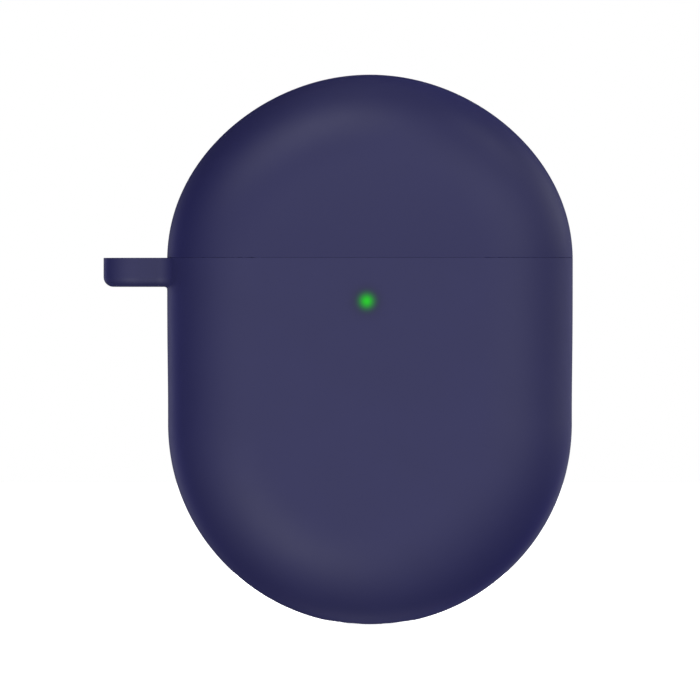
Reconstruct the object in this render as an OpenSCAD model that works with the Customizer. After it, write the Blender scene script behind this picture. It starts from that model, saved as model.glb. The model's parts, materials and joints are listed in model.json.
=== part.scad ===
// Charging case for wireless earbuds, worn in a two-piece silicone cover.
// Upright in millimetres: the front faces -Y, the keyring lug points to -X,
// and the lowest point of the cover's outline is the origin.

/* [Cover] */
// Width of the cover without its lug
cover_w = 49.6; // [49.2:0.2:52]
// Depth of the cover from front to back
cover_d = 28; // [27.8:0.2:30]
// Height of the closed cover
cover_h = 67.3; // [66.5:0.1:70]
// Height of the seam between the sleeve and the cap
seam_z = 44.9; // [44.5:0.1:46]
// Rounding of the front and back edges
edge_r = 12; // [11.5:0.1:12.4]
// Wall of the cover
cover_t = 1.4; // [1.2:0.1:1.5]
// Gap between the sleeve and the cap
seam_gap = 0.2; // [0.1:0.05:0.3]
// How far below the seam the arch of the cap is centred
arch_drop = 0.7; // [0.4:0.1:1]
// Width of the cut-out round the charging socket
port_w = 13; // [12:0.5:14]
// Depth of the cut-out round the charging socket
port_d = 7; // [6.5:0.5:8]
// Radius of the window over the pairing button
window_r = 4; // [3.5:0.1:4.5]
// Silicone left over the light
light_skin = 0.4; // [0.3:0.1:0.6]

/* [Keyring lug] */
// How far the lug stands out from the sleeve
lug_reach = 7.8; // [7.4:0.1:10]
// Width of the lug, front to back
lug_w = 9; // [8:0.5:10]
// Thickness of the lug
lug_t = 3.5; // [3:0.1:4.5]
// Rounding of the lug's lower edge
lug_round = 1.2; // [0.8:0.1:1.5]
// Radius of the keyring hole
ring_hole_r = 2.2; // [1.8:0.1:2.4]

/* [Case] */
// Wall of the plastic case
shell_t = 1.3; // [1.2:0.05:1.3]
// Wall of the tray and of the lid liner
insert_t = 1.2; // [1:0.1:1.2]
// Gap between parts that are fitted into each other
fit_gap = 0.1; // [0.05:0.05:0.1]
// How far the tray and the liner stand back from the seam
deck_drop = 0.4; // [0.3:0.1:0.5]

/* [Earbud pockets] */
// Radius of the round pockets
pocket_r = 9.4; // [9:0.1:9.4]
// Distance of each pocket from the middle
pocket_x = 10.6; // [10.5:0.1:10.8]
// Wall of the pockets
pocket_t = 1; // [0.8:0.1:1]
// Radius of the well for an ear tip
well_r = 3.9; // [3.5:0.1:4]
// Height of the floor of the well
well_floor_z = 31; // [31:0.5:33]
// Length that a charging pin travels
pin_travel = 0.8; // [0.5:0.1:0.8]

/* [Hinge] */
// Radius of the hinge barrel
knuckle_r = 1.2; // [1.1:0.05:1.25]
// Radius of the hinge pin
hinge_pin_r = 0.5; // [0.4:0.05:0.5]
// Length of the whole barrel
barrel_len = 24; // [22:0.5:24]
// Length of the middle knuckle, which turns with the lid
lid_knuckle_len = 10; // [9:0.5:11]
// Angle that the lid opens to
open_deg = 100; // [90:1:105]

/* [Light and button] */
// Sideways place of the light
led_x = -0.4; // [-1:0.1:0]
// Height of the light
led_z = 39.6; // [39:0.1:40]
// Radius of the light pipe
pipe_r = 1; // [0.8:0.1:1.2]
// Height of the pairing button
button_z = 26; // [25.5:0.1:26.5]
// Radius of the pairing button
button_r = 2.7; // [2.4:0.1:2.8]
// Length that the pairing button travels
button_travel = 0.3; // [0.2:0.05:0.3]

/* [Power] */
// Width of the battery
battery_w = 26; // [22:0.5:26]
// Thickness of the battery, front to back
battery_d = 8.4; // [6:0.2:8.4]
// Height of the battery
battery_h = 16; // [13.5:0.5:16]
// Height of the mouth of the charging socket
socket_z = 2.4; // [2.4:0.1:2.6]
// Thickness of the circuit boards
board_t = 0.8; // [0.6:0.1:0.8]

/* [Hidden] */
$fn = 96;
// Reach of a cut that has to clear the whole object, and of one that only runs past a face
far = 60;
spare = 1;
// Gap between faces that are soldered, glued or nearly flush
face_gap = 0.05;

// Outlines, from the outer face of the cover inwards
half_w = cover_w / 2;
half_d = cover_d / 2;
flat_half = half_w - edge_r;
side_half = half_d - edge_r;
arch_z = seam_z - arch_drop;
sleeve_top = seam_z - seam_gap / 2;
cap_bottom = seam_z + seam_gap / 2;
shell_out = cover_t + fit_gap;
shell_in = shell_out + shell_t;
insert_out = shell_in + fit_gap;
shell_face = half_d - shell_out;
wall_face = half_d - shell_in;
deck_top = seam_z - deck_drop;
deck_bottom = deck_top - insert_t;
liner_bottom = seam_z + deck_drop;
liner_top = liner_bottom + insert_t;
liner_out = insert_out + 2 * fit_gap;

// Keyring lug
lug_r = lug_w / 2;
lug_x = half_w + lug_reach - lug_r;

// Hinge, with its axis at the seam and its barrel just inside the back face
hinge_y = half_d - knuckle_r - face_gap;
barrel_room = 0.25;
barrel_half = barrel_len / 2;
hinge_half = barrel_half + barrel_room;
lid_knuckle_half = lid_knuckle_len / 2;
knuckle_gap = 0.1;
press_gap = 0.01;
turn_gap = 0.05;
wedge_deg = open_deg / 2 + 2;
wedge_lead = 0.35;
wedge_y = hinge_y - wedge_lead;
wedge_half = flat_half + sqrt(edge_r ^ 2 - (wedge_y - side_half) ^ 2) + spare / 2;
leaf_t = 0.6;
leaf_back = wall_face - fit_gap;
leaf_front = leaf_back - leaf_t;
leaf_room = 0.2;
leaf_offset = 0.35;
body_leaf_half = 11;
lid_leaf_half = 8;
body_leaf_bottom = seam_z - 8.4;
lid_leaf_top = seam_z + 7.1;
tongue_end = hinge_y - hinge_pin_r - turn_gap;
notch_half = leaf_offset + leaf_t + barrel_room;

// Small screws
screw_r = 0.6;
screw_head_r = 1.2;
screw_head_t = 0.75;
screw_gap = 0.04;
hinge_screw_x = 4;
body_screw_z = seam_z - 4.9;
lid_screw_z = seam_z + 4.1;
hinge_screw_end = shell_face - 0.35;

// Ear tip wells and magnets under the pockets
well_x = pocket_x - 2.4;
well_y = -1.2;
magnet_r = 2;
magnet_t = 1.2;
magnet_x = pocket_x - 3.1;
magnet_y = 6.6;
magnet_boss_z = seam_z - 9.2;
magnet_boss_h = 2;
magnet_boss_r = magnet_r + pocket_t / 2;

// Closure magnets behind the front of the deck and of the liner
closure_size = [7, 2, 1.6];
closure_y = -10.5;

// Sprung charging pins, two in each pocket
pin_x = pocket_x + 4.4;
pin_y = 2.2;
pin_r = 0.55;
pin_foot_z = seam_z - 10.3;
pin_neck_z = seam_z - 7.3;
barrel_r = 0.9;
barrel_foot_z = seam_z - 12.25;
barrel_floor_z = pin_foot_z - pin_travel - 0.5;
barrel_top_z = seam_z - 8.6;
contact_board_x = [13.3, 17.3];
contact_board_half_d = 4;

// Charging socket of the standard size, the flat land round it that a plug seats on, and the main board behind it
socket_size = [8.94, 3.26, 7.3];
port_top_z = 3;
socket_wall = 0.3;
socket_room = 0.13;
land_size = [12.4, 6.4];
land_z = 2.3;
tongue_half_w = 3.3;
tongue_half_t = 0.35;
tongue_tip_z = socket_z + 0.9;
tongue_base_z = socket_z + 5.6;
socket_top_z = socket_z + socket_size.z;
board_y = socket_size.y / 2 + face_gap;
board_back = board_y + board_t;
board_half = 16;
board_foot_half = 10.5;
board_foot_z = 6.2;
board_side_z = 12;
board_top_z = 29.5;
board_screw_x = 11.5;
board_screw_z = 20;
board_screw_end = 7.5;
boss_r = 2;

// Parts on the back of the main board: place across, height, width, height and thickness
chips = [
  [-5, 15, 5, 5, 0.9],
  [-5, 21.5, 3, 2.4, 0.8],
  [5, 12, 3, 3, 0.8],
  [5.2, 17, 3, 3, 1.4]
];
capacitor_size = [1, 0.5, 0.5];
capacitor_count = 6;
capacitor_step = 2.6;
capacitor_z = 9;

// Battery in front of the board
battery_back = -1;
battery_front = battery_back - battery_d;
battery_z = 12.2;
pad_size = [18, 11];
pad_z = battery_z + 2.5;
ribbon_t = 0.2;
ribbon_w = 3;
ribbon_x = 7;

// Light behind the front wall
led_board_back = -7.8;
led_board_front = led_board_back - board_t;
led_board_half = 3;
led_board_z = [led_z - 3, led_z + 1.6];
led_size = [1.6, 0.6, 0.8];
hall_size = [1.4, 0.5, 1.5];
hall_x = 1.2;
pipe_flange_r = 1.6;
pipe_flange_t = 0.8;
post_half = 2.5;
post_t = 0.8;
pocket_room = 0.6;

// Pairing button and its switch
button_gap = 0.1;
button_flange_r = 3.4;
button_flange_t = 0.8;
stem_r = 1.2;
switch_size = [4, 1.5, 3];
plunger_r = 0.8;
plunger_out = 0.4;
plunger_in = 0.6;

// Helper shapes

module block(low, high) {
  translate(low) cube(high - low);
}

module rod_x(y, z, from, to, r) {
  translate([from, y, z]) rotate([0, 90, 0]) cylinder(h = to - from, r = r);
}

module rod_y(x, z, from, to, r) {
  translate([x, from, z]) rotate([-90, 0, 0]) cylinder(h = to - from, r = r);
}

module rod_z(x, y, from, to, r) {
  translate([x, y, from]) cylinder(h = to - from, r = r);
}

// An upright slot or plug with round ends
module stadium(w, d, from, to) {
  straight = (w - d) / 2;
  block([-straight, -d / 2, from], [straight, d / 2, to]);
  for (s = [-1, 1]) rod_z(s * straight, 0, from, to, d / 2);
}

// Right half of the outline seen from above, with the cover's outer face at inset 0
module half_outline(inset) {
  translate([0, inset - half_d]) square([flat_half, 2 * (half_d - inset)]);
  translate([0, -side_half]) square([half_w - inset, 2 * side_half]);
  for (s = [-1, 1]) translate([flat_half, s * side_half]) circle(edge_r - inset);
}

module outline(inset) {
  half_outline(inset);
  mirror([1, 0]) half_outline(inset);
}

// Lower form: a round end swept about the depth axis, with straight sides above it
module lower_form(inset, top) {
  translate([0, 0, half_w]) rotate([-90, 0, 0]) rotate_extrude(angle = 180) half_outline(inset);
  translate([0, 0, half_w]) linear_extrude(top - half_w) outline(inset);
}

// Upper form: the same sweep flattened into the arch of the lid, cut off at a height
module upper_form(inset, bottom) {
  flatten = (cover_h - inset - arch_z) / (half_w - inset);
  difference() {
    translate([0, 0, arch_z]) scale([1, 1, flatten])
      rotate([90, 0, 0]) rotate_extrude(angle = 180) half_outline(inset);
    block([-far, -far, bottom - far], [far, far, bottom]);
  }
}

// Lug with a round end and a rounded lower edge, level with the top of the sleeve
module lug_profile() {
  square([lug_r - lug_round, lug_t]);
  translate([0, lug_round]) square([lug_r, lug_t - lug_round]);
  translate([lug_r - lug_round, lug_round]) circle(lug_round);
}

module lug() {
  root = lug_x - half_w + cover_t / 2;
  translate([-lug_x, 0, sleeve_top - lug_t]) {
    rotate([0, 0, 90]) rotate_extrude(angle = 180) lug_profile();
    rotate([90, 0, 90]) linear_extrude(root) {
      lug_profile();
      mirror([1, 0]) lug_profile();
    }
  }
}

// Space round the hinge barrel
module barrel_space() {
  rod_x(hinge_y, seam_z, -hinge_half, hinge_half, knuckle_r + barrel_room);
}

// Space round the barrel and the tongues that lead to it
module hinge_space() {
  barrel_space();
  block([-hinge_half, wall_face - shell_t, seam_z - notch_half], [hinge_half, hinge_y, seam_z + notch_half]);
}

// Space for the hinge leaves behind the tray and the liner, from a height up
module leaf_slot(from) {
  block([-hinge_half, leaf_front - leaf_room, from], [hinge_half, half_d, far]);
}

// Wedge from just in front of the hinge axis that lets both halves of the cover fold back
module opening_wedge() {
  depth = half_d - wedge_y + spare;
  rise = depth * tan(wedge_deg);
  translate([-wedge_half, wedge_y, seam_z]) rotate([90, 0, 90])
    linear_extrude(2 * wedge_half) polygon([[0, 0], [depth, -rise], [depth, rise]]);
}

// Two pockets of one radius, from one height to another
module pockets(r, from, to) {
  for (s = [-1, 1]) intersection() {
    translate([s * pocket_x, 0, seam_z]) sphere(r);
    block([-far, -far, from], [far, far, to]);
  }
}

module wells(r, from) {
  for (s = [-1, 1]) rod_z(s * well_x, well_y, from, seam_z - pocket_r / 2, r);
}

module at_pins() {
  for (x = [-pin_x, pin_x]) for (y = [-pin_y, pin_y]) translate([x, y, 0]) children();
}

// Screws driven backwards, with their heads on a face
module screws_y(x, z, face, end) {
  for (s = [-1, 1]) {
    rod_y(s * x, z, face - screw_head_t, face - screw_gap, screw_head_r);
    rod_y(s * x, z, face - screw_head_t / 2, end, screw_r);
  }
}

module screw_holes_y(x, z, from, end) {
  for (s = [-1, 1]) rod_y(s * x, z, from, end, screw_r + screw_gap);
}

// Cover

module cover_body() {
  color("#35355f") difference() {
    union() {
      lower_form(0, sleeve_top);
      lug();
    }
    lower_form(cover_t, sleeve_top + spare);
    rod_z(-lug_x, 0, sleeve_top - lug_t - spare, sleeve_top + spare, ring_hole_r);
    stadium(port_w, port_d, -spare, port_top_z);
    rod_y(0, button_z, 0, half_d + spare, window_r);
    rod_y(led_x, led_z, light_skin - half_d, 0, pipe_r + pocket_room);
    barrel_space();
    opening_wedge();
  }
}

module cover_lid() {
  color("#35355f") difference() {
    upper_form(0, cap_bottom);
    upper_form(cover_t, seam_z);
    barrel_space();
    opening_wedge();
  }
}

// Plastic case

module case_body_shell() {
  color("#e9e9e6") {
    difference() {
      lower_form(shell_out, sleeve_top);
      lower_form(shell_in, sleeve_top + spare);
      stadium(land_size.x, land_size.y, 0, land_z);
      stadium(socket_size.x + 2 * socket_room, socket_size.y + 2 * socket_room, 0, port_top_z + shell_t);
      rod_y(0, button_z, 0, half_d, button_r + button_gap);
      rod_y(led_x, led_z, -half_d, 0, pipe_r + fit_gap / 2);
      screw_holes_y(hinge_screw_x, body_screw_z, 0, hinge_screw_end + fit_gap);
      hinge_space();
    }
    difference() {
      for (s = [-1, 1])
        rod_y(s * board_screw_x, board_screw_z, board_back + face_gap, wall_face + shell_t / 2, boss_r);
      screw_holes_y(board_screw_x, board_screw_z, 0, board_screw_end + fit_gap);
    }
  }
}

module case_lid_shell() {
  color("#e9e9e6") difference() {
    upper_form(shell_out, cap_bottom);
    upper_form(shell_in, seam_z);
    screw_holes_y(hinge_screw_x, lid_screw_z, 0, hinge_screw_end + fit_gap);
    hinge_space();
  }
}

module earbud_tray() {
  color("#cfd0d2") difference() {
    union() {
      translate([0, 0, deck_bottom]) linear_extrude(insert_t) outline(insert_out);
      pockets(pocket_r + pocket_t, 0, deck_top);
      wells(well_r + pocket_t, well_floor_z - pocket_t);
      for (s = [-1, 1])
        rod_z(s * magnet_x, magnet_y, magnet_boss_z, magnet_boss_z + magnet_boss_h, magnet_boss_r);
      block([-post_half, led_board_back + fit_gap, led_board_z[0] + spare],
            [post_half, led_board_back + fit_gap + post_t, deck_top]);
    }
    pockets(pocket_r, 0, far);
    wells(well_r, well_floor_z);
    at_pins() rod_z(0, 0, barrel_foot_z, seam_z, barrel_r + fit_gap / 2);
    leaf_slot(body_leaf_bottom - spare);
  }
}

module lid_liner() {
  color("#cfd0d2") difference() {
    union() {
      translate([0, 0, liner_bottom]) linear_extrude(insert_t) outline(liner_out);
      pockets(pocket_r + pocket_t, liner_bottom, far);
    }
    pockets(pocket_r, 0, far);
    leaf_slot(0);
  }
}

// Hinge

module hinge_body_leaf() {
  color("#b9bcc0") difference() {
    union() {
      block([-body_leaf_half, leaf_front, body_leaf_bottom],
            [body_leaf_half, leaf_back, seam_z - leaf_offset]);
      for (s = [0, 1]) mirror([s, 0, 0]) {
        block([lid_knuckle_half + 2 * knuckle_gap, leaf_front, seam_z - leaf_offset - leaf_t],
              [barrel_half - knuckle_gap, tongue_end, seam_z - leaf_offset]);
        rod_x(hinge_y, seam_z, lid_knuckle_half + knuckle_gap, barrel_half, knuckle_r);
      }
    }
    rod_x(hinge_y, seam_z, -far, far, hinge_pin_r + press_gap);
    screw_holes_y(hinge_screw_x, body_screw_z, 0, half_d);
  }
}

module hinge_lid_leaf() {
  color("#b9bcc0") difference() {
    union() {
      block([-lid_leaf_half, leaf_front, seam_z + leaf_offset], [lid_leaf_half, leaf_back, lid_leaf_top]);
      block([-lid_knuckle_half + knuckle_gap, leaf_front, seam_z + leaf_offset],
            [lid_knuckle_half - knuckle_gap, tongue_end, seam_z + leaf_offset + leaf_t]);
      rod_x(hinge_y, seam_z, -lid_knuckle_half, lid_knuckle_half, knuckle_r);
    }
    rod_x(hinge_y, seam_z, -far, far, hinge_pin_r + turn_gap);
    screw_holes_y(hinge_screw_x, lid_screw_z, 0, half_d);
  }
}

module hinge_pin() {
  color("#8f9297") rod_x(hinge_y, seam_z, -barrel_half, barrel_half, hinge_pin_r);
}

module hinge_body_screws() {
  color("#8f9297") screws_y(hinge_screw_x, body_screw_z, leaf_front, hinge_screw_end);
}

module hinge_lid_screws() {
  color("#8f9297") screws_y(hinge_screw_x, lid_screw_z, leaf_front, hinge_screw_end);
}

// Magnets

module closure_magnet(from) {
  color("#70757c") translate([-closure_size.x / 2, closure_y, from]) cube(closure_size);
}

module closure_magnet_body() {
  closure_magnet(deck_bottom - face_gap - closure_size.z);
}

module closure_magnet_lid() {
  closure_magnet(liner_top + face_gap);
}

module earbud_magnets() {
  top = magnet_boss_z - face_gap;
  color("#70757c") for (s = [-1, 1]) rod_z(s * magnet_x, magnet_y, top - magnet_t, top, magnet_r);
}

// Charging contacts

module contact_pin(x, y) {
  color("#d9b45a") {
    rod_z(x, y, pin_foot_z, pin_neck_z, pin_r);
    translate([x, y, pin_neck_z]) sphere(pin_r);
  }
}

module contact_pin_left_front() {
  contact_pin(-pin_x, -pin_y);
}

module contact_pin_left_back() {
  contact_pin(-pin_x, pin_y);
}

module contact_pin_right_front() {
  contact_pin(pin_x, -pin_y);
}

module contact_pin_right_back() {
  contact_pin(pin_x, pin_y);
}

module contact_barrels() {
  color("#c79f4c") at_pins() difference() {
    rod_z(0, 0, barrel_foot_z, barrel_top_z, barrel_r);
    rod_z(0, 0, barrel_floor_z, seam_z, pin_r + turn_gap);
  }
}

module contact_boards() {
  top = barrel_foot_z - face_gap;
  color("#2f6b46") for (s = [0, 1]) mirror([s, 0, 0])
    block([contact_board_x[0], -contact_board_half_d, top - board_t],
          [contact_board_x[1], contact_board_half_d, top]);
}

module contact_flexes() {
  top = barrel_foot_z - board_t - 2 * face_gap;
  color("#b5792f") for (s = [0, 1]) mirror([s, 0, 0])
    block([contact_board_x[0] + fit_gap, board_back + face_gap, board_top_z - contact_board_half_d],
          [board_half - fit_gap, board_back + face_gap + ribbon_t, top]);
}

// Main board and charging socket

module main_board() {
  color("#2f6b46") difference() {
    translate([0, board_back, 0]) rotate([90, 0, 0]) linear_extrude(board_t) polygon([
      [-board_half, board_top_z], [board_half, board_top_z],
      [board_half, board_side_z], [board_foot_half, board_foot_z],
      [-board_foot_half, board_foot_z], [-board_half, board_side_z]
    ]);
    screw_holes_y(board_screw_x, board_screw_z, 0, half_d);
  }
}

module board_chips() {
  face = board_back + face_gap;
  row = (capacitor_count - 1) * capacitor_step / 2;
  color("#26282b") {
    for (c = chips) translate([c[0] - c[2] / 2, face, c[1] - c[3] / 2]) cube([c[2], c[4], c[3]]);
    for (i = [0 : capacitor_count - 1])
      translate([i * capacitor_step - row - capacitor_size.x / 2, face, capacitor_z]) cube(capacitor_size);
  }
}

module board_screws() {
  color("#8f9297") screws_y(board_screw_x, board_screw_z, board_y, board_screw_end);
}

module usb_shell() {
  color("#c3c6ca") difference() {
    stadium(socket_size.x, socket_size.y, socket_z, socket_top_z);
    stadium(socket_size.x - 2 * socket_wall, socket_size.y - 2 * socket_wall, 0, far);
  }
}

module usb_tongue() {
  inner = 2 * (socket_wall + face_gap);
  color("#1d1e20") {
    stadium(socket_size.x - inner, socket_size.y - inner, tongue_base_z, socket_top_z);
    block([-tongue_half_w, -tongue_half_t, tongue_tip_z], [tongue_half_w, tongue_half_t, socket_top_z]);
  }
}

// Battery

module battery() {
  color("#9aa0a8") translate([-battery_w / 2, battery_front, battery_z])
    cube([battery_w, battery_d, battery_h]);
}

module battery_pad() {
  color("#3a3a3c") block([-pad_size.x / 2, fit_gap - wall_face, pad_z],
                         [pad_size.x / 2, battery_front - face_gap, pad_z + pad_size.y]);
}

module battery_flex() {
  top = battery_z + battery_h - spare;
  color("#b5792f") block([ribbon_x, battery_back + face_gap, top - ribbon_t],
                         [ribbon_x + ribbon_w, board_y - face_gap, top]);
}

// Light

module led_board() {
  color("#2f6b46") block([-led_board_half, led_board_front, led_board_z[0]],
                         [led_board_half, led_board_back, led_board_z[1]]);
}

module status_led() {
  low = [led_x - led_size.x / 2, led_board_front - face_gap - led_size.y, led_z - led_size.z / 2];
  color("#3ddc55") translate(low) cube(led_size);
}

module hall_sensor() {
  low = [hall_x, led_board_front - face_gap - hall_size.y, led_z - hall_size.z / 2];
  color("#26282b") translate(low) cube(hall_size);
}

module light_pipe() {
  back = led_board_front - led_size.y - 3 * face_gap;
  flange = -wall_face + fit_gap;
  color("#dfe9ee") {
    rod_y(led_x, led_z, -shell_face, back, pipe_r);
    rod_y(led_x, led_z, flange, flange + pipe_flange_t, pipe_flange_r);
  }
}

module led_flex() {
  half = ribbon_w / 2;
  low = board_top_z - spare / 2;
  front = led_board_back - ribbon_t;
  top = led_board_z[0] - face_gap;
  color("#b5792f") {
    block([-half, front, low], [half, led_board_back, top]);
    block([-half, front, low], [half, board_y - face_gap, low + ribbon_t]);
  }
}

// Pairing button

module pairing_button() {
  flange = wall_face - fit_gap;
  tip = board_back + face_gap + switch_size.y + plunger_out + face_gap;
  color("#e9e9e6") {
    rod_y(0, button_z, flange - button_flange_t, shell_face, button_r);
    rod_y(0, button_z, flange - button_flange_t, flange, button_flange_r);
    rod_y(0, button_z, tip, flange, stem_r);
  }
}

module tact_switch() {
  face = board_back + face_gap;
  color("#26282b") difference() {
    block([-switch_size.x / 2, face, button_z - switch_size.z / 2],
          [switch_size.x / 2, face + switch_size.y, button_z + switch_size.z / 2]);
    rod_y(0, button_z, face + switch_size.y - plunger_in - 2 * button_travel, half_d, plunger_r + turn_gap);
  }
}

module switch_plunger() {
  top = board_back + face_gap + switch_size.y;
  color("#d8d3c4") rod_y(0, button_z, top - plunger_in, top + plunger_out, plunger_r);
}

cover_body();
cover_lid();
case_body_shell();
case_lid_shell();
earbud_tray();
lid_liner();
hinge_body_leaf();
hinge_lid_leaf();
hinge_pin();
hinge_body_screws();
hinge_lid_screws();
closure_magnet_body();
closure_magnet_lid();
earbud_magnets();
contact_pin_left_front();
contact_pin_left_back();
contact_pin_right_front();
contact_pin_right_back();
contact_barrels();
contact_boards();
contact_flexes();
main_board();
board_chips();
board_screws();
usb_shell();
usb_tongue();
battery();
battery_pad();
battery_flex();
led_board();
status_led();
hall_sensor();
light_pipe();
led_flex();
pairing_button();
tact_switch();
switch_plunger();
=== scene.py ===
import json
import math

import bpy
import numpy as np
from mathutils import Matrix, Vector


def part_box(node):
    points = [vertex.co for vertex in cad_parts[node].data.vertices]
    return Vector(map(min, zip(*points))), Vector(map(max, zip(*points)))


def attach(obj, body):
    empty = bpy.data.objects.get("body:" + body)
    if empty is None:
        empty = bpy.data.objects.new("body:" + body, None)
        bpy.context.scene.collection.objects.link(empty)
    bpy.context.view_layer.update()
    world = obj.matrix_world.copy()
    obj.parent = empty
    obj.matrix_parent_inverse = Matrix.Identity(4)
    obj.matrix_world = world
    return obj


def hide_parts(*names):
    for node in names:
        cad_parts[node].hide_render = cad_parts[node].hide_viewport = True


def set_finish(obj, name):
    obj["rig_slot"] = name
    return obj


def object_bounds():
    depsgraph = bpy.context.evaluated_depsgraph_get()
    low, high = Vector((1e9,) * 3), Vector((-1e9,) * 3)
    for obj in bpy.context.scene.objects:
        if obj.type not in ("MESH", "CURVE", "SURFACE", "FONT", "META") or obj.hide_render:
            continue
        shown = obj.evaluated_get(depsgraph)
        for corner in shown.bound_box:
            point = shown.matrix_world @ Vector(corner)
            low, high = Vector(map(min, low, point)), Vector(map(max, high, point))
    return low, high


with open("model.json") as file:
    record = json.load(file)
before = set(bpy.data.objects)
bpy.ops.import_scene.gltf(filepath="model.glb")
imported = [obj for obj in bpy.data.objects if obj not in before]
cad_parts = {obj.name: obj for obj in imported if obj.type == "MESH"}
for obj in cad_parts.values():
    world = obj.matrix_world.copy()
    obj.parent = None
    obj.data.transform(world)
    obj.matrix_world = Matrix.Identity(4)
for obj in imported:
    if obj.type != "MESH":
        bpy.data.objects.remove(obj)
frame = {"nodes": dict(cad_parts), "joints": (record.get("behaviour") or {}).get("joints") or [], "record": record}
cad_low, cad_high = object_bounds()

MM = 0.001
nodes = frame["nodes"]
record = frame["record"]
scene = bpy.context.scene


def box_mm(node):
    """Lowest and highest corner of a CAD node in millimetres."""
    low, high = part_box(node)
    return np.array(low) / MM, np.array(high) / MM


def middle_mm(node):
    """Middle of a CAD node's box in millimetres."""
    low, high = box_mm(node)
    return (low + high) / 2


def mount(name):
    """One of the record's mounts."""
    return next(m for m in record["mounts"] if m["name"] == name)


# Driving dimensions in millimetres, read from the frame where it holds them

body_low, body_high = box_mm("cover_body")
lid_high = box_mm("cover_lid")[1]
shell_high = box_mm("case_body_shell")[1]
tray_low, tray_high = box_mm("earbud_tray")
liner_low, liner_high = box_mm("lid_liner")
ring_x = mount("keyring_hole")["pos_m"][0] / MM
ring_r = mount("keyring_hole")["dims"]["r_mm"]
window_r = mount("button_window")["dims"]["r_mm"]
lid_hinge = next(j for j in frame["joints"] if j["name"] == "lid_hinge")
hinge_y, seam_z = (v / MM for v in lid_hinge["pos_m"][1:])
button_z = middle_mm("pairing_button")[2]
led_x, _, led_z = middle_mm("status_led")
magnet_low, magnet_high = box_mm("earbud_magnets")
led_board_low, led_board_high = box_mm("led_board")
pin_spots = [middle_mm(n)[:2] for n in nodes if n.startswith("contact_pin_")]

HALF_W = body_high[0]
HALF_D = body_high[1]
TOP_Z = lid_high[2]
EDGE_R = 12.0
FLAT_HALF = HALF_W - EDGE_R
SIDE_HALF = HALF_D - EDGE_R
ROUND_Z = HALF_W

# The lid's arch starts at ARCH_Z inside and BROW_Z outside; the sides draw in about WAIST_Z
ARCH_Z = seam_z - 0.7
BROW_Z = seam_z - 0.3
BROW_LEAN = 0.085
WAIST = 0.11
WAIST_Z = 26.0
WAIST_SPAN = 5.5

FIT_GAP = 0.1
TOUCH_GAP = 0.002
COVER_T = HALF_D - shell_high[1] - FIT_GAP
TRAY_INSET = HALF_W - tray_high[0]
LINER_INSET = HALF_W - liner_high[0]

# The gap at the seam, and the roundings of the edges
SEAM_GAP = 0.002
SLEEVE_LIP = 0.02
CAP_LIP = 0.012
INNER_LIP = 0.05
CUT_LIP = 0.35
PORT_LIP = 0.12
FOLD_LIP = 0.25
DECK_LIP = 0.15
CUP_LIP = 0.5
SLOT_LIP = 0.1

LUG_R = ring_x - body_low[0]
LUG_T = 3.44
LUG_ROUND = 1.2
LUG_FILLET = 1.5

PORT_W = 13.0
PORT_D = 7.0

KNUCKLE_R = 1.2
HINGE_ROOM = 0.25
HINGE_HALF = 12.25
WEDGE_Y = hinge_y - 0.35
WEDGE_ANGLE = math.radians(52)

POCKET_X = 10.6
POCKET_R = 9.4
POCKET_T = 1.0
POCKET_RIM = 0.5
WELL_X = 8.2
WELL_Y = -1.2
WELL_R = 3.9
WELL_FILLET = 0.9
POCKET_FILLET = 0.7
DECK_T = 1.2
PIN_HOLE_R = 0.75
BOSS_H = 2.0
POST_HALF = 2.5
POST_T = 0.8
LEAF_SLOT_Y = 10.3

# Fields: functions of x, y and z in millimetres, below zero inside a shape


def rounded_box(u, v, half_u, half_v, r):
    """A flat box of two half sides, grown by a radius."""
    du = np.abs(u) - half_u
    dv = np.abs(v) - half_v
    outside = np.hypot(np.maximum(du, 0), np.maximum(dv, 0))
    return outside + np.minimum(np.maximum(du, dv), 0) - r


def both(a, b, r):
    """Where two shapes overlap, with the edge between them rounded."""
    corner = np.hypot(np.maximum(a + r, 0), np.maximum(b + r, 0))
    return np.minimum(np.maximum(a, b), -r) + corner


def either(a, b, r):
    """Two shapes joined by a fillet."""
    return -both(-a, -b, r)


def without(a, b, r):
    """The first shape with the second cut out of it, and the edge rounded."""
    return both(a, -b, r)


def between(v, low, high):
    """The slab from a low to a high value."""
    return np.maximum(low - v, v - high)


def lower_form(x, y, z, inset, waist=0.0):
    """The body: straight sides over a round end, shrunk by an inset."""
    across = np.hypot(x, np.minimum(z - ROUND_Z, 0))
    drawn_in = waist * np.exp(-0.5 * ((z - WAIST_Z) / WAIST_SPAN) ** 2)
    return rounded_box(across, y, FLAT_HALF - drawn_in, SIDE_HALF, EDGE_R) + inset


def upper_form(x, y, z, inset, start=ARCH_Z, lean=0.0):
    """The lid: a round end flattened into an arch that leans in towards its top."""
    rise = (z - start) / (TOP_Z - inset - start)
    rise = rise + lean * rise ** 2 * (1 - rise)
    across = np.hypot(x, rise * (HALF_W - inset))
    return rounded_box(across, y, FLAT_HALF, SIDE_HALF, EDGE_R) + inset


def barrel_room(x, y, z):
    """Room round the hinge barrel."""
    barrel = np.hypot(y - hinge_y, z - seam_z) - KNUCKLE_R - HINGE_ROOM
    return np.maximum(barrel, np.abs(x) - HINGE_HALF)


def fold_room(y, z):
    """The wedge behind the hinge that lets the two halves of the cover fold back."""
    return np.abs(z - seam_z) * math.cos(WEDGE_ANGLE) - (y - WEDGE_Y) * math.sin(WEDGE_ANGLE)


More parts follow.
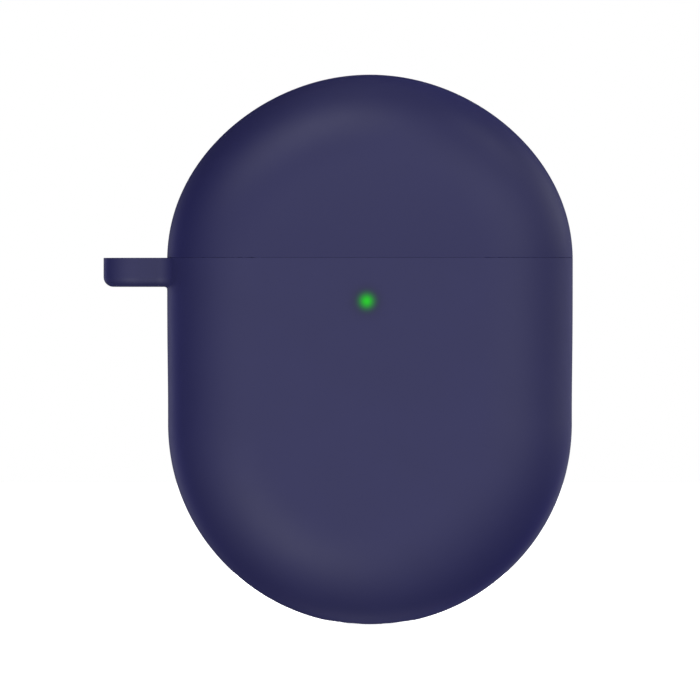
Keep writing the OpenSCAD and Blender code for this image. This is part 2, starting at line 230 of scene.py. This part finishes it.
def sleeve_field(x, y, z):
    """The lower half of the cover with its lug, port and button window."""
    outer = lower_form(x, y, z, 0, WAIST)
    along = np.clip(x, ring_x, LUG_R - HALF_W)
    lug_plan = np.hypot(x - along, y) - LUG_R
    lug = both(either(outer, lug_plan, LUG_FILLET), body_high[2] - LUG_T - z, LUG_ROUND)
    solid = both(np.minimum(outer, lug), z - seam_z + SEAM_GAP / 2, SLEEVE_LIP)
    solid = without(solid, fold_room(y, z), FOLD_LIP)
    solid = without(solid, lower_form(x, y, z, COVER_T), INNER_LIP)
    solid = without(solid, np.hypot(x - ring_x, y) - ring_r, CUT_LIP)
    port = rounded_box(x, y, (PORT_W - PORT_D) / 2, 0, PORT_D / 2)
    solid = without(solid, np.maximum(port, z - PORT_D), PORT_LIP)
    window = np.hypot(x, z - button_z) - window_r
    solid = without(solid, np.maximum(window, -y), CUT_LIP)
    return without(solid, barrel_room(x, y, z), INNER_LIP)


def cap_field(x, y, z):
    """The upper half of the cover."""
    outer = upper_form(x, y, z, 0, BROW_Z, BROW_LEAN)
    solid = both(outer, seam_z + SEAM_GAP / 2 - z, CAP_LIP)
    solid = without(solid, fold_room(y, z), FOLD_LIP)
    solid = without(solid, upper_form(x, y, z, COVER_T), INNER_LIP)
    return without(solid, barrel_room(x, y, z), INNER_LIP)


def pocket_ball(x, y, z, r):
    """The two balls that the pockets are parts of."""
    return np.sqrt((np.abs(x) - POCKET_X) ** 2 + y ** 2 + (z - seam_z) ** 2) - r


def leaf_slot(x, y):
    """Room for the hinge's leaves at the back edge."""
    return np.maximum(np.abs(x) - HINGE_HALF, LEAF_SLOT_Y - y)


def magnet_boss(x, y, z):
    """The two pads under the pockets that the magnets sit on."""
    r = (magnet_high[1] - magnet_low[1]) / 2
    round_it = np.hypot(np.abs(x) - magnet_high[0] + r, y - magnet_high[1] + r) - r - POCKET_T / 2
    foot = magnet_high[2] + TOUCH_GAP
    return np.maximum(round_it, between(z, foot, foot + BOSS_H))


def light_post(x, y, z, top):
    """The wall under the deck that backs the small board of the light."""
    face = led_board_high[1] + FIT_GAP
    wall = np.maximum(np.abs(x) - POST_HALF, between(y, face, face + POST_T))
    return np.maximum(wall, between(z, led_board_low[2] + FIT_GAP, top))


def tray_field(x, y, z):
    """The deck with the two pockets, their wells and the holes for the pins."""
    deck_top, well_floor = tray_high[2], tray_low[2] + POCKET_T
    outline = rounded_box(x, y, FLAT_HALF, SIDE_HALF, EDGE_R) + TRAY_INSET
    well = np.hypot(np.abs(x) - WELL_X, y - WELL_Y) - WELL_R
    deck = both(outline, between(z, deck_top - DECK_T, deck_top), DECK_LIP)
    bowl = np.maximum(pocket_ball(x, y, z, POCKET_R + POCKET_T), z - deck_top)
    cup = both(well - POCKET_T, between(z, tray_low[2], seam_z - POCKET_R / 2), CUP_LIP)
    solid = np.minimum(np.minimum(deck, bowl), np.minimum(cup, magnet_boss(x, y, z)))
    solid = np.minimum(solid, light_post(x, y, z, deck_top))
    well = both(well, well_floor - z, WELL_FILLET)
    hollow = either(pocket_ball(x, y, z, POCKET_R), well, POCKET_FILLET)
    solid = without(solid, hollow, POCKET_RIM)
    for pin_x, pin_y in pin_spots:
        hole = np.hypot(x - pin_x, y - pin_y) - PIN_HOLE_R
        solid = np.maximum(solid, -np.maximum(hole, z - seam_z))
    return without(solid, leaf_slot(x, y), SLOT_LIP)


def liner_field(x, y, z):
    """The lid's inner panel with its two recesses."""
    outline = rounded_box(x, y, FLAT_HALF, SIDE_HALF, EDGE_R) + LINER_INSET
    plate = both(outline, between(z, liner_low[2], liner_low[2] + DECK_T), DECK_LIP)
    bowl = np.maximum(pocket_ball(x, y, z, POCKET_R + POCKET_T), liner_low[2] - z)
    solid = without(np.minimum(plate, bowl), pocket_ball(x, y, z, POCKET_R), POCKET_RIM)
    return without(solid, leaf_slot(x, y), SLOT_LIP)


# Meshing: a surface net over a grid, thinned where it is smooth and laid on the field

GRID_STEP = 0.25
GRID_MARGIN = 0.7
FINE_STEPS = (0.011, 0.022, 0.034, 0.05, 0.07, 0.1, 0.14, 0.2, 0.3, 0.4)
FINE_MARGIN = 0.05
GRADIENT_REACH = 0.004
LONGEST_MOVE = 0.2
LEAST_SLOPE = 0.05
SMOOTH_ANGLE = math.radians(4)
JUST_INSIDE = -0.001


def grid_lines(low, high, step, fine_at=None):
    """Even grid lines, with closer ones about a place where edges meet."""
    lines = np.arange(low, high + step, step)
    if fine_at is None:
        return lines
    away = np.array(FINE_STEPS)
    fine = fine_at + np.concatenate([-away[::-1], [0], away])
    return np.sort(np.concatenate([lines[np.abs(lines - fine_at) > away[-1] + FINE_MARGIN], fine]))


def filled_in(values):
    """The same values, with no two inner corners of the grid that meet only across a diagonal."""
    for _ in range(4):
        for axis in range(3):
            layers = np.moveaxis(values, axis, 0)
            inside = layers < 0
            a, b = inside[:, :-1, :-1], inside[:, 1:, 1:]
            c, d = inside[:, 1:, :-1], inside[:, :-1, 1:]
            crossed = (a == b) & (c == d) & (a != c)
            for j, k in ((0, 0), (0, 1), (1, 0), (1, 1)):
                corner = layers[:, j:layers.shape[1] - 1 + j, k:layers.shape[2] - 1 + k]
                corner[crossed] = np.minimum(corner[crossed], JUST_INSIDE)
    return values


def surface_net(values, lines):
    """Vertices and quads of the zero surface of values on a grid."""
    inside = values < 0
    corners = [(i, j, k) for i in (0, 1) for j in (0, 1) for k in (0, 1)]
    shape = tuple(n - 1 for n in values.shape)
    count = np.zeros(shape, np.int8)
    for corner in corners:
        count += inside[tuple(slice(c, c + n) for c, n in zip(corner, shape))]
    cells = np.argwhere((count > 0) & (count < 8))
    number = np.full(shape, -1, np.int32)
    number[tuple(cells.T)] = np.arange(len(cells))
    total = np.zeros((len(cells), 3))
    hits = np.zeros(len(cells))
    for a in corners:
        for axis in (d for d in range(3) if not a[d]):
            b = tuple(1 if d == axis else a[d] for d in range(3))
            ia, ib = (cells + a).T, (cells + b).T
            va, vb = values[tuple(ia)], values[tuple(ib)]
            cross = (va < 0) != (vb < 0)
            part = va[cross] / (va[cross] - vb[cross])
            for d in range(3):
                pa, pb = lines[d][ia[d][cross]], lines[d][ib[d][cross]]
                total[cross, d] += pa + part * (pb - pa)
            hits[cross] += 1
    quads = []
    for axis in range(3):
        u, v = (axis + 1) % 3, (axis + 2) % 3
        near, away = [slice(1, -1)] * 3, [slice(1, -1)] * 3
        near[axis], away[axis] = slice(0, -1), slice(1, None)
        first, second = inside[tuple(near)], inside[tuple(away)]
        at = np.argwhere(first != second)
        start = first[tuple(at.T)]
        at[:, [u, v]] += 1
        around = []
        for du, dv in ((-1, -1), (0, -1), (0, 0), (-1, 0)):
            cell = at.copy()
            cell[:, u] += du
            cell[:, v] += dv
            around.append(number[tuple(cell.T)])
        quad = np.stack(around, 1)
        quad[~start] = quad[~start][:, ::-1]
        quads.append(quad)
    return total / hits[:, None], np.concatenate(quads)


def slope(field, points):
    """The field's gradient at some points."""
    columns = []
    for axis in range(3):
        step = np.zeros(3)
        step[axis] = GRADIENT_REACH
        ahead, behind = (points + step).T, (points - step).T
        columns.append((field(*ahead) - field(*behind)) / (2 * GRADIENT_REACH))
    return np.stack(columns, 1)


def unit(vectors):
    """Vectors scaled to a length of one."""
    return vectors / np.linalg.norm(vectors, axis=1)[:, None]


def lay_on(field, points, rounds=4):
    """Points moved along the gradient until they lie on the field's zero surface."""
    for _ in range(rounds):
        rise = slope(field, points)
        steep = np.maximum((rise ** 2).sum(1), LEAST_SLOPE)
        move = np.clip(field(*points.T) / steep, -LONGEST_MOVE, LONGEST_MOVE)
        points = points - rise * move[:, None]
    return points


def smooth_places(normals, quads):
    """Vertices with no edge or small rounding near them, which may be thinned out."""
    sharp = np.zeros(len(normals), bool)
    for i in range(4):
        a, b = quads[:, i], quads[:, (i + 1) % 4]
        bent = (normals[a] * normals[b]).sum(1) < math.cos(SMOOTH_ANGLE)
        sharp[a[bent]] = True
        sharp[b[bent]] = True
    for _ in range(2):
        sharp[quads[sharp[quads].any(1)]] = True
    return np.flatnonzero(~sharp)


def moulded(name, field, node, body, slot, share, fine=(None, None, None)):
    """A moulded piece made from a field, in place of a CAD node; fine says where the grid is closer."""
    step = GRID_STEP
    low, high = box_mm(node)
    lines = [grid_lines(low[d] - GRID_MARGIN, high[d] + GRID_MARGIN, step, fine[d]) for d in range(3)]
    mesh_lines = [v.astype(np.float32) for v in lines]
    values = field(*np.meshgrid(*mesh_lines, indexing="ij", sparse=True))
    values = filled_in(np.array(np.broadcast_to(values, [len(v) for v in lines])))
    points, quads = surface_net(values, lines)
    points = lay_on(field, points)
    mesh = bpy.data.meshes.new(name)
    mesh.from_pydata(points * MM, [], quads)
    piece = bpy.data.objects.new(name, mesh)
    scene.collection.objects.link(piece)
    group = piece.vertex_groups.new(name="smooth")
    group.add(smooth_places(unit(slope(field, points)), quads).tolist(), 1.0, "REPLACE")
    thin = piece.modifiers.new("thin", "DECIMATE")
    thin.ratio = share
    thin.vertex_group = "smooth"
    seen = piece.evaluated_get(bpy.context.evaluated_depsgraph_get())
    thinned = bpy.data.meshes.new_from_object(seen)
    piece.modifiers.clear()
    piece.vertex_groups.clear()
    piece.data = thinned
    spots = np.zeros(len(thinned.vertices) * 3)
    thinned.vertices.foreach_get("co", spots)
    spots = lay_on(field, spots.reshape(-1, 3) / MM)
    thinned.vertices.foreach_set("co", (spots * MM).ravel())
    thinned.polygons.foreach_set("use_smooth", [True] * len(thinned.polygons))
    thinned.normals_split_custom_set_from_vertices(unit(slope(field, spots)))
    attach(piece, body)
    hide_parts(node)
    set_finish(piece, slot)
    return piece


RIMS = (None, WEDGE_Y, seam_z)
sleeve = moulded("sleeve", sleeve_field, "cover_body", "case", "silicone", 0.2, RIMS)
cap = moulded("cap", cap_field, "cover_lid", "lid", "silicone", 0.25, RIMS)
tray = moulded("tray", tray_field, "earbud_tray", "case", "tray_plastic", 0.4)
liner = moulded("liner", liner_field, "lid_liner", "lid", "tray_plastic", 0.4)

# Materials


class Finish:
    """A material with a plain shader, and short ways to lay textures on it."""

    def __init__(self, name, color, roughness, metallic=0.0):
        self.material = bpy.data.materials.new(name)
        self.material.use_nodes = True
        self.tree = self.material.node_tree
        self.shader = self.tree.nodes["Principled BSDF"]
        self.color = color
        self.set("Base Color", (*color, 1))
        self.set("Roughness", roughness)
        self.set("Metallic", metallic)
        self.place = self.add("ShaderNodeTexCoord").outputs["Object"]

    def add(self, kind, **settings):
        """A new node of a kind."""
        node = self.tree.nodes.new(kind)
        for key, value in settings.items():
            setattr(node, key, value)
        return node

    def link(self, start, end):
        self.tree.links.new(start, end)

    def set(self, socket, value):
        self.shader.inputs[socket].default_value = value

    def stretched(self, stretch):
        """The object's coordinates, scaled by axis."""
        mapping = self.add("ShaderNodeMapping")
        mapping.inputs["Scale"].default_value = stretch
        self.link(self.place, mapping.inputs["Vector"])
        return mapping.outputs["Vector"]

    def noise(self, size_mm, detail=3.0, stretch=None):
        """Noise whose grains are about a size in millimetres."""
        node = self.add("ShaderNodeTexNoise")
        node.inputs["Scale"].default_value = 1 / (size_mm * MM)
        node.inputs["Detail"].default_value = detail
        self.link(self.stretched(stretch) if stretch else self.place, node.inputs["Vector"])
        return node.outputs["Fac"]

    def ramp(self, value, low=0.0, high=1.0, start=0.3, end=0.7):
        """A value spread from one range to another."""
        node = self.add("ShaderNodeMapRange")
        node.inputs["From Min"].default_value = start
        node.inputs["From Max"].default_value = end
        node.inputs["To Min"].default_value = low
        node.inputs["To Max"].default_value = high
        self.link(value, node.inputs["Value"])
        return node.outputs["Result"]

    def mixed(self, value, first, second):
        """Two colours mixed by a value; the first may be the output of another node."""
        node = self.add("ShaderNodeMix", data_type="RGBA")
        a, b = (s for s in node.inputs if s.type == "RGBA")
        if isinstance(first, tuple):
            a.default_value = (*first, 1)
        else:
            self.link(first, a)
        b.default_value = (*second, 1)
        self.link(value, node.inputs["Factor"])
        return next(s for s in node.outputs if s.type == "RGBA")

    def tint(self, value, other):
        """Lets the base colour go towards another one by a value."""
        self.link(self.mixed(value, self.color, other), self.shader.inputs["Base Color"])

    def mottle(self, size_mm, factor):
        """Soft patches in which the base colour is lighter or darker by a factor."""
        self.tint(self.ramp(self.noise(size_mm)), shade(self.color, factor))

    def overlay(self, value, other):
        """Lays one more colour over what already feeds the base colour."""
        socket = self.shader.inputs["Base Color"]
        self.link(self.mixed(value, socket.links[0].from_socket, other), socket)

    def roughen(self, value, low, high):
        """Lets the roughness go from low to high by a value."""
        self.link(self.ramp(value, low, high), self.shader.inputs["Roughness"])

    def bump(self, value, depth_mm):
        """Fine relief of a depth in millimetres."""
        node = self.add("ShaderNodeBump")
        node.inputs["Distance"].default_value = depth_mm * MM
        self.link(value, node.inputs["Height"])
        self.link(node.outputs["Normal"], self.shader.inputs["Normal"])


def shade(color, factor):
    """A colour made lighter or darker."""
    return tuple(c * factor for c in color)


NAVY = (0.0215, 0.0215, 0.0925)
# Painted shade: the colour the cap's silicone darkens to at the seam, and the height over which it fades out above
# the seam.
SEAM_SHADE_NAVY = (0.0182, 0.0182, 0.0885)
THIN_NAVY = (0, 0, 0.001)
SEAM_SHADE_SPAN = 12.0
LIGHT_SIGMA = 0.53
SPOT_SIGMA = 0.9
LIGHT_GREEN = (0.0, 0.545, 0.004)


def silicone_finish(name):
    """Matte silicone with a fine moulded grain."""
    made = Finish(name, NAVY, 0.37)
    made.set("IOR", 1.41)
    made.mottle(6.0, 1.05)
    made.roughen(made.noise(2.5), 0.35, 0.39)
    made.bump(made.noise(0.09, 2.0), 0.0012)
    return made


def round_spot(made, sigma):
    """One over the light at the front of the sleeve, falling off softly all round."""
    away = made.add("ShaderNodeVectorMath", operation="DISTANCE")
    away.inputs[1].default_value = (led_x * MM, -HALF_D * MM, led_z * MM)
    made.link(made.place, away.inputs[0])
    square = made.add("ShaderNodeMath", operation="POWER")
    square.inputs[1].default_value = 2
    made.link(away.outputs["Value"], square.inputs[0])
    scaled = made.add("ShaderNodeMath", operation="MULTIPLY")
    scaled.inputs[1].default_value = -0.5 / (sigma * MM) ** 2
    made.link(square.outputs[0], scaled.inputs[0])
    spot = made.add("ShaderNodeMath", operation="EXPONENT")
    made.link(scaled.outputs[0], spot.inputs[0])
    return spot.outputs[0]


def lit_silicone_finish():
    """Silicone with the green light that shines through its thin spot."""
    made = silicone_finish("silicone_with_light")
    made.set("Emission Color", (*LIGHT_GREEN, 1))
    made.link(round_spot(made, LIGHT_SIGMA), made.shader.inputs["Emission Strength"])
    made.overlay(round_spot(made, SPOT_SIGMA), THIN_NAVY)
    return made


def cap_silicone_painted_shade_finish():
    """Silicone with painted shade: its colour is darker towards the seam, standing in for the lid's face taking
    less light there.
    """
    made = silicone_finish("silicone_of_cap_painted_shade")
    height = made.add("ShaderNodeSeparateXYZ")
    made.link(made.place, height.inputs[0])
    near = made.ramp(height.outputs["Z"], 1.0, 0.0, seam_z * MM, (seam_z + SEAM_SHADE_SPAN) * MM)
    # Painted shade: the cap's colour goes darker towards the seam.
    made.overlay(near, SEAM_SHADE_NAVY)
    return made


def case_plastic_finish():
    """Off-white plastic of the case itself."""
    made = Finish("case_plastic", (0.8, 0.8, 0.77), 0.4)
    made.mottle(8.0, 0.96)
    made.roughen(made.noise(1.5), 0.36, 0.44)
    made.bump(made.noise(1.2, 1.0), 0.004)
    return made


def tray_plastic_finish():
    """Satin grey plastic of the tray and the liner."""
    made = Finish("tray_plastic", (0.62, 0.63, 0.64), 0.3)
    made.mottle(6.0, 0.95)
    made.roughen(made.noise(1.2), 0.26, 0.36)
    made.bump(made.noise(1.6, 1.0), 0.004)
    return made


def metal_finish(name, color, roughness, stretch):
    """Drawn or brushed metal, with its grain along one direction."""
    made = Finish(name, color, roughness, 1.0)
    grain = made.noise(0.15, 3.0, stretch)
    made.tint(made.ramp(grain), shade(color, 0.85))
    made.roughen(grain, roughness - 0.06, roughness + 0.08)
    made.bump(grain, 0.002)
    return made


def board_finish():
    """Solder mask with fine copper lines under it."""
    made = Finish("circuit_board", (0.03, 0.16, 0.08), 0.35)
    lines = made.add("ShaderNodeTexBrick")
    lines.inputs["Scale"].default_value = 1 / (1.6 * MM)
    lines.inputs["Mortar Size"].default_value = 0.06
    made.link(made.stretched((1, 0.2, 1)), lines.inputs["Vector"])
    made.tint(lines.outputs["Fac"], (0.06, 0.27, 0.12))
    made.roughen(made.noise(0.8), 0.3, 0.42)
    made.bump(lines.outputs["Fac"], 0.02)
    return made


def ribbon_finish():
    """Amber film with copper conductors along it."""
    made = Finish("ribbon", (0.5, 0.24, 0.05), 0.3)
    wave = made.add("ShaderNodeTexWave", bands_direction="X")
    wave.inputs["Scale"].default_value = 1 / (3.2 * MM)
    wave.inputs["Distortion"].default_value = 0
    made.link(made.place, wave.inputs["Vector"])
    made.tint(made.ramp(wave.outputs["Fac"], 0.0, 1.0, 0.45, 0.55), (0.62, 0.36, 0.12))
    made.roughen(made.noise(1.0), 0.25, 0.38)
    return made


def black_plastic_finish():
    """Black plastic of the small parts on the boards."""
    color = (0.02, 0.02, 0.022)
    made = Finish("black_plastic", color, 0.45)
    grain = made.noise(0.08, 2.0)
    made.tint(made.ramp(grain), shade(color, 1.6))
    made.roughen(grain, 0.4, 0.52)
    made.bump(grain, 0.004)
    return made


def foil_finish():
    """Pouch foil with soft creases."""
    color = (0.55, 0.57, 0.6)
    made = Finish("battery_foil", color, 0.32, 1.0)
    crease = made.noise(3.0, 2.0)
    made.tint(made.ramp(crease), shade(color, 0.85))
    made.roughen(made.noise(0.3), 0.26, 0.4)
    made.bump(crease, 0.12)
    return made


def foam_finish():
    """Open foam with fine pores, their middles darkened as painted shade inside them."""
    color = (0.03, 0.03, 0.032)
    made = Finish("foam", color, 0.9)
    pores = made.add("ShaderNodeTexVoronoi")
    pores.inputs["Scale"].default_value = 1 / (0.35 * MM)
    made.link(made.place, pores.inputs["Vector"])
    # Painted shade: the middle of each pore is drawn darker.
    made.tint(made.ramp(pores.outputs["Distance"], 1.0, 0.0, 0.1, 0.6), shade(color, 0.3))
    made.bump(pores.outputs["Distance"], 0.08)
    return made


def light_finish():
    """The lit face of the status light."""
    made = Finish("green_light", (0.05, 0.72, 0.1), 0.3)
    made.tint(made.ramp(made.noise(0.3)), (0.04, 0.6, 0.08))
    made.set("Emission Color", (0.05, 0.75, 0.12, 1))
    made.link(made.ramp(made.noise(0.4), 0.85, 1.15), made.shader.inputs["Emission Strength"])
    return made


def clear_plastic_finish():
    """The clear rod that leads the light to the front."""
    made = Finish("clear_plastic", (0.85, 0.92, 0.95), 0.1)
    made.set("Transmission Weight", 0.9)
    made.set("IOR", 1.49)
    made.tint(made.ramp(made.noise(1.0)), (0.8, 0.9, 0.92))
    made.roughen(made.noise(0.5), 0.06, 0.16)
    return made


FINISHES = {
    "silicone": silicone_finish("silicone"),
    "case_plastic": case_plastic_finish(),
    "tray_plastic": tray_plastic_finish(),
    "hinge_steel": metal_finish("hinge_steel", (0.52, 0.53, 0.55), 0.34, (0.06, 1, 1)),
    "magnet": metal_finish("magnet", (0.4, 0.41, 0.43), 0.22, (1, 1, 0.3)),
    "gold": metal_finish("gold", (0.83, 0.6, 0.24), 0.22, (1, 1, 0.1)),
    "circuit_board": board_finish(),
    "ribbon": ribbon_finish(),
    "black_plastic": black_plastic_finish(),
    "socket_steel": metal_finish("socket_steel", (0.6, 0.61, 0.63), 0.28, (1, 1, 0.06)),
    "battery_foil": foil_finish(),
    "foam": foam_finish(),
    "green_light": light_finish(),
    "clear_plastic": clear_plastic_finish(),
}


def paint(piece, finish):
    """Gives a piece one finish."""
    piece.data.materials.clear()
    piece.data.materials.append(finish.material)


for part in record["subparts"]:
    for place in nodes[part["node"]].material_slots:
        place.material = FINISHES[part["material_slot"]].material
for piece in (tray, liner):
    paint(piece, FINISHES[piece["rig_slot"]])
paint(sleeve, lit_silicone_finish())
paint(cap, cap_silicone_painted_shade_finish())

# Floor, light and camera

FLOOR_HALF = 3.0
FLOOR_GLOW = 0.85
BACK_SIZE = 0.5
BACK_POWER = 4.0
BACK_PLACE = (0.05, 0.6, 0.2)
BACK_TURN = (math.radians(-75), 0, math.radians(-5))
LIGHTS = [
    # azimuth from the front towards +X, elevation, sharpness, strength
    (-8, 15, 4, 0.43),
    (48, 15, 4, 1.2),
    (-45, -20, 4, 0.69),
    (0, -55, 4, 0.54),
    (-30, 65, 14, 1.5),
    (-60, 40, 14, 0.75),
    (-30, -35, 14, 0.75),
    (100, 50, 45, 0.8),
    (120, 15, 14, 0.55),
    (140, 12, 45, 0.33),
    (160, -8, 45, 0.35),
    (-150, -4, 36, 0.39),
    (180, 65, 14, 0.2),
    (180, -45, 30, 0.24),
]
COOL = (0.1, 0.1, 1.0)
COOL_LIGHTS = [
    (142, -10, 8, 0.25),
    (-140, -5, 20, 0.36),
    (180, -40, 14, 0.14),
    (160, 42, 14, 0.14),
]


def towards(azimuth, elevation):
    """The direction of a light as seen from the object."""
    a, e = math.radians(azimuth), math.radians(elevation)
    return math.sin(a) * math.cos(e), -math.cos(a) * math.cos(e), math.sin(e)


def glow(tree, way, lights):
    """The sum of some lights, each brightest in one direction."""
    total = None
    for azimuth, elevation, sharpness, strength in lights:
        dot = tree.nodes.new("ShaderNodeVectorMath")
        dot.operation = "DOT_PRODUCT"
        dot.inputs[1].default_value = towards(azimuth, elevation)
        tree.links.new(way, dot.inputs[0])
        power = tree.nodes.new("ShaderNodeMath")
        power.operation = "MULTIPLY_ADD"
        power.inputs[1].default_value = sharpness
        power.inputs[2].default_value = math.log(strength) - sharpness
        tree.links.new(dot.outputs["Value"], power.inputs[0])
        lobe = tree.nodes.new("ShaderNodeMath")
        lobe.operation = "EXPONENT"
        tree.links.new(power.outputs[0], lobe.inputs[0])
        if total is None:
            total = lobe.outputs[0]
            continue
        joined = tree.nodes.new("ShaderNodeMath")
        joined.operation = "ADD"
        tree.links.new(total, joined.inputs[0])
        tree.links.new(lobe.outputs[0], joined.inputs[1])
        total = joined.outputs[0]
    return total


def studio():
    """Soft lights all round, cool ones behind, and white where the camera looks past the object."""
    world = bpy.data.worlds.new("studio")
    world.use_nodes = True
    tree = world.node_tree
    tree.nodes.clear()
    way = tree.nodes.new("ShaderNodeTexCoord").outputs["Generated"]

    def background(color):
        node = tree.nodes.new("ShaderNodeBackground")
        node.inputs["Color"].default_value = (*color, 1)
        return node

    soft, cool, white = background((1, 1, 1)), background(COOL), background((1, 1, 1))
    tree.links.new(glow(tree, way, LIGHTS), soft.inputs["Strength"])
    tree.links.new(glow(tree, way, COOL_LIGHTS), cool.inputs["Strength"])
    around = tree.nodes.new("ShaderNodeAddShader")
    tree.links.new(soft.outputs[0], around.inputs[0])
    tree.links.new(cool.outputs[0], around.inputs[1])
    which = tree.nodes.new("ShaderNodeMixShader")
    tree.links.new(tree.nodes.new("ShaderNodeLightPath").outputs["Is Camera Ray"], which.inputs[0])
    tree.links.new(around.outputs[0], which.inputs[1])
    tree.links.new(white.outputs[0], which.inputs[2])
    tree.links.new(which.outputs[0], tree.nodes.new("ShaderNodeOutputWorld").inputs["Surface"])
    scene.world = world


def back_light():
    """A softbox behind the object, for looking at its back; it makes no highlights."""
    data = bpy.data.lights.new("back softbox", "AREA")
    data.size = BACK_SIZE
    data.energy = BACK_POWER
    lamp = bpy.data.objects.new("back softbox", data)
    lamp.location = BACK_PLACE
    lamp.rotation_euler = BACK_TURN
    lamp.visible_glossy = False
    lamp.visible_camera = False
    scene.collection.objects.link(lamp)


def pale_floor():
    """A white floor that only the camera sees, so that it throws no light on the object."""
    h = FLOOR_HALF
    mesh = bpy.data.meshes.new("floor")
    mesh.from_pydata([(-h, -h, 0), (h, -h, 0), (h, h, 0), (-h, h, 0)], [], [(0, 1, 2, 3)])
    floor = bpy.data.objects.new("floor", mesh)
    floor.location.z = cad_low[2]
    finish = Finish("floor", (0.9, 0.9, 0.9), 0.8)
    finish.tint(finish.ramp(finish.noise(40.0)), (0.88, 0.88, 0.88))
    finish.set("Emission Color", (1, 1, 1, 1))
    finish.set("Emission Strength", FLOOR_GLOW)
    mesh.materials.append(finish.material)
    scene.collection.objects.link(floor)
    floor.visible_diffuse = False
    floor.visible_glossy = False
    floor.visible_transmission = False
    floor.visible_shadow = False


PICTURE_PX = 700
PX_PER_MM = 8.173
VIEW_MM = PICTURE_PX / PX_PER_MM
VIEW_X = -2.44
VIEW_Z = 33.63
LENS = 1200.0
SENSOR = 36.0


def photo_camera():
    """A long lens straight in front, as in the photograph."""
    data = bpy.data.cameras.new("camera")
    data.lens = LENS
    data.sensor_width = SENSOR
    camera = bpy.data.objects.new("camera", data)
    distance = VIEW_MM * LENS / SENSOR
    camera.location = (VIEW_X * MM, -distance * MM, VIEW_Z * MM)
    camera.rotation_euler = (math.radians(90), 0, 0)
    scene.collection.objects.link(camera)
    scene.camera = camera
    scene.view_settings.view_transform = "Standard"


studio()
back_light()
pale_floor()
photo_camera()
